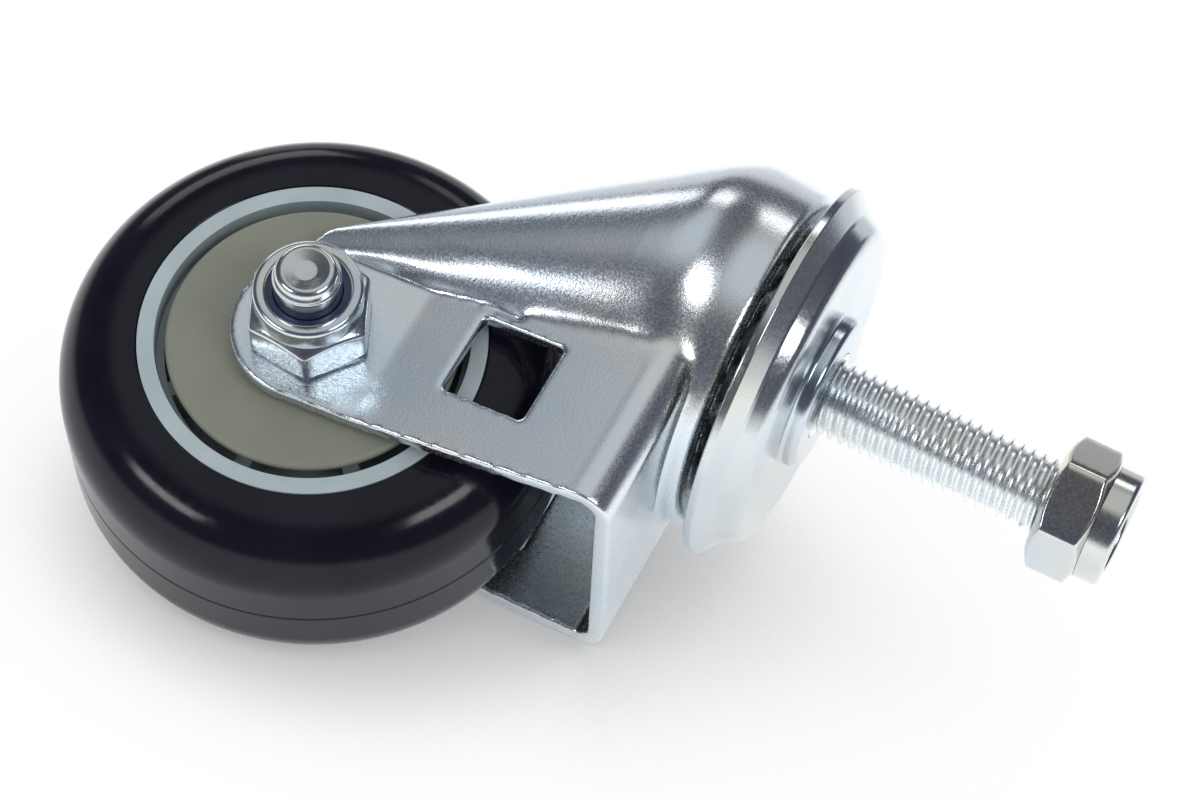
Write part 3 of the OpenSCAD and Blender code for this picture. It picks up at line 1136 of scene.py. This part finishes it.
@dataclass
class Studio:
    """White table, lamps and camera.

    Attributes:
        up: direction away from the table in the row frame.
        rest: a point of the table in the row frame, in metres.
    """

    up: Vector
    rest: Vector

    def paint(self) -> bpy.types.Material:
        """Makes the table's white, which shows the camera only its soft shadow.

        Returns:
            The material, through which parts below the table stay in sight.
        """
        tree = Tree(bpy.data.materials.new("table_white"))
        back = tree.add("ShaderNodeNewGeometry").outputs["Backfacing"]
        path = tree.add("ShaderNodeLightPath")
        clear = tree.add("ShaderNodeBsdfTransparent").outputs["BSDF"]
        white = tree.add("ShaderNodeBsdfDiffuse")
        white.inputs["Color"].default_value = TABLE_PAINT
        where = tree.add("ShaderNodeTexCoord")
        length = tree.add("ShaderNodeVectorMath", operation="LENGTH")
        tree.link(where.outputs["Object"], length.inputs[0])
        fade = tree.add("ShaderNodeMapRange", interpolation_type="SMOOTHSTEP")
        fade.inputs["From Min"].default_value, fade.inputs["From Max"].default_value = TABLE_FADE
        tree.link(length.outputs["Value"], fade.inputs["Value"])
        hidden = tree.larger(tree.larger(back, path.outputs["Is Shadow Ray"]), fade.outputs["Result"])
        near = tree.add("ShaderNodeAmbientOcclusion", samples=SHADOW_SAMPLES)
        near.inputs["Distance"].default_value = SHADOW_REACH
        veil = tree.add("ShaderNodeBsdfTransparent")
        tree.link(tree.ramp(near.outputs["AO"], SHADOW), veil.inputs["Color"])
        lit = tree.mix(hidden, white.outputs["BSDF"], clear)
        shaded = tree.mix(back, veil.outputs["BSDF"], clear)
        out = tree.add("ShaderNodeOutputMaterial")
        tree.link(tree.mix(path.outputs["Is Camera Ray"], lit, shaded), out.inputs["Surface"])
        return tree.owner

    def floor(self) -> None:
        """Lays the table under the castor."""
        work = bmesh.new()
        bmesh.ops.create_circle(work, cap_ends=True, segments=TABLE_SIDES, radius=TABLE_RADIUS)
        mesh = bpy.data.meshes.new("table")
        work.to_mesh(mesh)
        work.free()
        mesh.materials.append(self.paint())
        table = bpy.data.objects.new("table", mesh)
        bpy.context.scene.collection.objects.link(table)
        turn = self.up.to_track_quat("Z", "Y").to_matrix().to_4x4()
        table.matrix_world = Matrix.Translation(self.rest) @ turn

    def lamp(self, lamp: Lamp, ahead: Vector, side: Vector) -> None:
        """Hangs a lamp that looks at the castor.

        Args:
            lamp: the lamp to hang.
            ahead: direction along the table away from the camera.
            side: direction along the table to the camera's right.
        """
        turn, lift = math.radians(lamp.azimuth), math.radians(lamp.elevation)
        level = ahead * math.cos(turn) + side * math.sin(turn)
        way = (level * math.cos(lift) + self.up * math.sin(lift)).normalized()
        data = bpy.data.lights.new(lamp.name, "AREA")
        data.shape = "RECTANGLE"
        data.size, data.size_y = lamp.size
        data.energy = lamp.glow * math.pi * lamp.size[0] * lamp.size[1]
        made = bpy.data.objects.new(lamp.name, data)
        bpy.context.scene.collection.objects.link(made)
        made.location = self.rest + way * LAMP_DISTANCE
        across = self.up.cross(way).normalized()
        made.rotation_mode = "QUATERNION"
        made.rotation_quaternion = Matrix((across, way.cross(across), way)).transposed().to_quaternion()

    def world(self) -> None:
        """Lights the room from above, leaves its walls dark and keeps the background white."""
        tree = Tree(bpy.data.worlds.new("room"))
        bpy.context.scene.world = tree.owner
        where = tree.add("ShaderNodeTexCoord")
        height = tree.add("ShaderNodeVectorMath", operation="DOT_PRODUCT")
        height.inputs[1].default_value = self.up
        tree.link(where.outputs["Generated"], height.inputs[0])
        place = tree.add("ShaderNodeMapRange")
        place.inputs["From Min"].default_value = -1.0
        tree.link(height.outputs["Value"], place.inputs["Value"])
        stops = [((level + 1.0) / 2.0, colour) for level, colour in ROOM]
        room, dome, white = (tree.add("ShaderNodeBackground") for _ in range(3))
        tree.link(tree.ramp(place.outputs["Result"], stops), room.inputs["Color"])
        dome.inputs["Color"].default_value = DOME
        white.inputs["Color"].default_value = WHITE
        path = tree.add("ShaderNodeLightPath")
        lit = tree.mix(path.outputs["Is Glossy Ray"], dome.outputs[0], room.outputs[0])
        out = tree.add("ShaderNodeOutputWorld")
        tree.link(tree.mix(path.outputs["Is Camera Ray"], lit, white.outputs[0]), out.inputs["Surface"])

    def camera(self) -> None:
        """Sets the camera where the photograph was taken from."""
        data = bpy.data.cameras.new("camera")
        data.sensor_width = SENSOR
        data.lens = LENS
        camera = bpy.data.objects.new("camera", data)
        bpy.context.scene.collection.objects.link(camera)
        turn = Matrix((RIGHT, ABOVE, RIGHT.cross(ABOVE))).transposed().to_4x4()
        camera.matrix_world = Matrix.Translation(CAMERA_PLACE) @ turn
        bpy.context.scene.camera = camera

    def build(self) -> None:
        """Builds the whole studio."""
        self.floor()
        self.world()
        view = RIGHT.cross(ABOVE)
        ahead = (self.up * view.dot(self.up) - view).normalized()
        side = ahead.cross(self.up)
        for lamp in LAMPS:
            self.lamp(lamp, ahead, side)
        self.camera()
        bpy.context.scene.view_settings.view_transform = "Standard"


class Castor:
    """All visual pieces of the castor."""

    def __init__(self, nodes: dict[str, bpy.types.Object]) -> None:
        """Keeps the CAD nodes and starts the materials.

        Args:
            nodes: the CAD node objects by name.
        """
        self.nodes = nodes
        self.materials = Materials()

    def cup(self) -> None:
        """Builds the dished top cup."""
        bore, boss, shoulder, rim, inside = 7.05, 12.3, 25.7, 30.4, 23.5
        plateau, under, lip, foot = -2.53, -5.03, -8.3, -9.6
        outline = rounded([
            (bore, under, 0), (bore, 0, 0.2), (boss, 0, 1.0), (boss, plateau, 0.7), (shoulder, plateau, 2.3),
            (27.2, -5.55, 0.25), (27.5, -5.95, 0.2), (rim, lip, 0.35), (rim, foot, 0.3),
            (28.4, foot, 0.3), (inside, under, 1.0),
        ])
        piece = Turned(Slot.ZINC, "head", ("top_cup",), outline, Axis.SWIVEL, steps=160)
        piece.build("cup_pressing", self.materials)

    def stem(self) -> None:
        """Builds the threaded stem with its root, collar and foot."""
        thread = ThreadNodes(crest=6.0, depth=1.0, pitch=1.75, turns=26, start=-1.75)
        tip, cup_under, collar_foot, neck_foot, foot = 46.9, -5.03, -18.1, -20.6, -23.0
        collar, neck = 7.5, 5.0
        outline = rounded([
            (0.0, tip, 0), (4.7, tip, 0.3), (5.1, 46.2, 0), (5.05, 0.02, 0), (6.95, 0.0, 0),
            (7.0, cup_under, 0), (collar, -5.05, 0), (collar, collar_foot, 0), (neck, -18.12, 0),
            (neck, neck_foot, 0), (8.5, -20.62, 0.3), (7.3, foot, 0.4), (0.0, foot, 0),
        ])
        finish = THREAD_FINISH.material()
        piece = Threaded(Slot.ZINC, "head", ("stem",), outline, thread, Axis.SWIVEL, finish)
        made = piece.build("stem_thread", self.materials)
        made.data.materials[0] = finish

    def wheel(self) -> None:
        """Builds the tyre, the core and the thread guards."""
        half, tread, bore, groove, tongue = LAYOUT.half_w, 38.1, 25.85, 28.45, 5.83
        seam, seam_radius, shoulder = 0.35, 37.95, 9.6
        outline = rounded(
            [
                (bore, -half, 0.4), (tread, -half, shoulder), (tread, -seam, 0.15), (seam_radius, 0.0, 0.1),
                (tread, seam, 0.15), (tread, half, shoulder), (bore, half, 0.4), (bore, tongue, 0),
                (groove, tongue, 0), (groove, -tongue, 0), (bore, -tongue, 0),
            ],
            steps=16,
        )
        tyre = Turned(Slot.TYRE, "wheel", ("tyre",), outline, Axis.AXLE, steps=192)
        tyre.build("tyre_cast", self.materials)
        for node, name in (("guard_left", "guard_near"), ("guard_right", "guard_far")):
            guard = Formed(Slot.GUARD, "fork", (node,), self.nodes[node], edge=0.25)
            guard.build(name, self.materials)
        core = Formed(Slot.CORE, "wheel", ("wheel_core",), self.nodes["wheel_core"], edge=0.3)
        core.build("core_moulding", self.materials)

    def fork(self) -> None:
        """Builds the drawn fork."""
        Drawn(Slot.FORK, "fork", ("fork",), self.nodes["fork"]).build("fork_pressing", self.materials)

    def fasteners(self) -> None:
        """Builds the nuts, their inserts and the axle bolt."""
        stem_nut = LockNut(flats=19.0, height=12.0, bore=5.65, seat=36.5, way=1)
        axle_nut = LockNut(flats=17.0, height=11.0, bore=5.05, seat=-LAYOUT.leg_out, way=-1)
        for node, body, axis, nut in (
            ("stem_nut", "stem_nut", Axis.SWIVEL, stem_nut),
            ("axle_nut", "fork", Axis.AXLE, axle_nut),
        ):
            HexTurned(
                Slot.ZINC, body, (node,), nut.outline(), axis, steps=240,
                flats=nut.flats, corner=corner_angle(self.nodes[node], axis),
            ).build(f"{node}_part", self.materials)
            insert = f"{node}_insert"
            ring = Formed(Slot.NYLON, body, (insert,), self.nodes[insert], edge=0.2)
            ring.build(f"{insert}_part", self.materials)
        self.bolt()

    def bolt(self) -> None:
        """Builds the axle bolt with its head and its dished end."""
        flats, leg, shank = 17.0, LAYOUT.leg_out, 5.0
        head, end = leg + 6.4, -leg - 16.2
        face, chamfer, corner = 8.3, 0.86, flats / 2 / math.cos(math.pi / 6)
        outline = rounded([
            (0.0, head, 0.0), (face, head, 0.3), (corner, head - chamfer, 0.0), (corner, leg, 0.0),
            (shank, leg, 0.0), (shank, end + 2.0, 0.3), (4.75, end + 1.7, 0.3), (4.45, end, 1.1),
            (3.4, end, 0.8), (1.6, end + 0.55, 1.5), (0.0, end + 0.6, 0.0),
        ])
        HexTurned(
            Slot.ZINC, "fork", ("axle_bolt",), dense(outline, step=0.4), Axis.AXLE, steps=192,
            flats=flats, corner=corner_angle(self.nodes["axle_bolt"], Axis.AXLE),
        ).build("axle_bolt_part", self.materials)

    def inner(self) -> None:
        """Gives the hidden bearing pieces their steel."""
        steel = self.materials.get(Slot.STEEL)
        for name, node in self.nodes.items():
            if name.startswith(("bearing_", "upper_", "lower_", "axle_spacer")):
                node.data.materials.clear()
                node.data.materials.append(steel)

    def build(self) -> None:
        """Builds every piece."""
        self.cup()
        self.stem()
        self.wheel()
        self.fork()
        self.fasteners()
        self.inner()


def resting_plane(parts: Sequence[bpy.types.Object], guess: Vector) -> tuple[Vector, Vector]:
    """Finds the table that the castor lies on.

    Args:
        parts: the CAD objects.
        guess: rough direction away from the table.

    Returns:
        The direction away from the table and the table's point under the castor.
    """
    work = bmesh.new()
    for part in parts:
        for vertex in part.data.vertices:
            work.verts.new(vertex.co)
    bmesh.ops.convex_hull(work, input=work.verts)
    work.normal_update()
    centre = sum((v.co for v in work.verts), Vector()) / len(work.verts)
    sides = [face for face in work.faces if face.calc_area() > SMALLEST_FACET]
    low = min(sides, key=lambda face: face.normal.dot(guess))
    up = -low.normal.normalized()
    point = low.verts[0].co.copy()
    work.free()
    LOG.info("table normal %s", tuple(round(c, 4) for c in up))
    return up, centre - up * (centre - point).dot(up)


def main() -> None:
    """Loads the CAD frame and builds the looks round it."""
    logging.basicConfig(level=logging.INFO)
    for old in list(bpy.data.objects):
        bpy.data.objects.remove(old)
    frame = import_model()
    Castor(frame["nodes"]).build()
    up, rest = resting_plane(list(frame["nodes"].values()), TABLE_GUESS)
    Studio(up, rest).build()


if __name__ == "__main__":
    main()
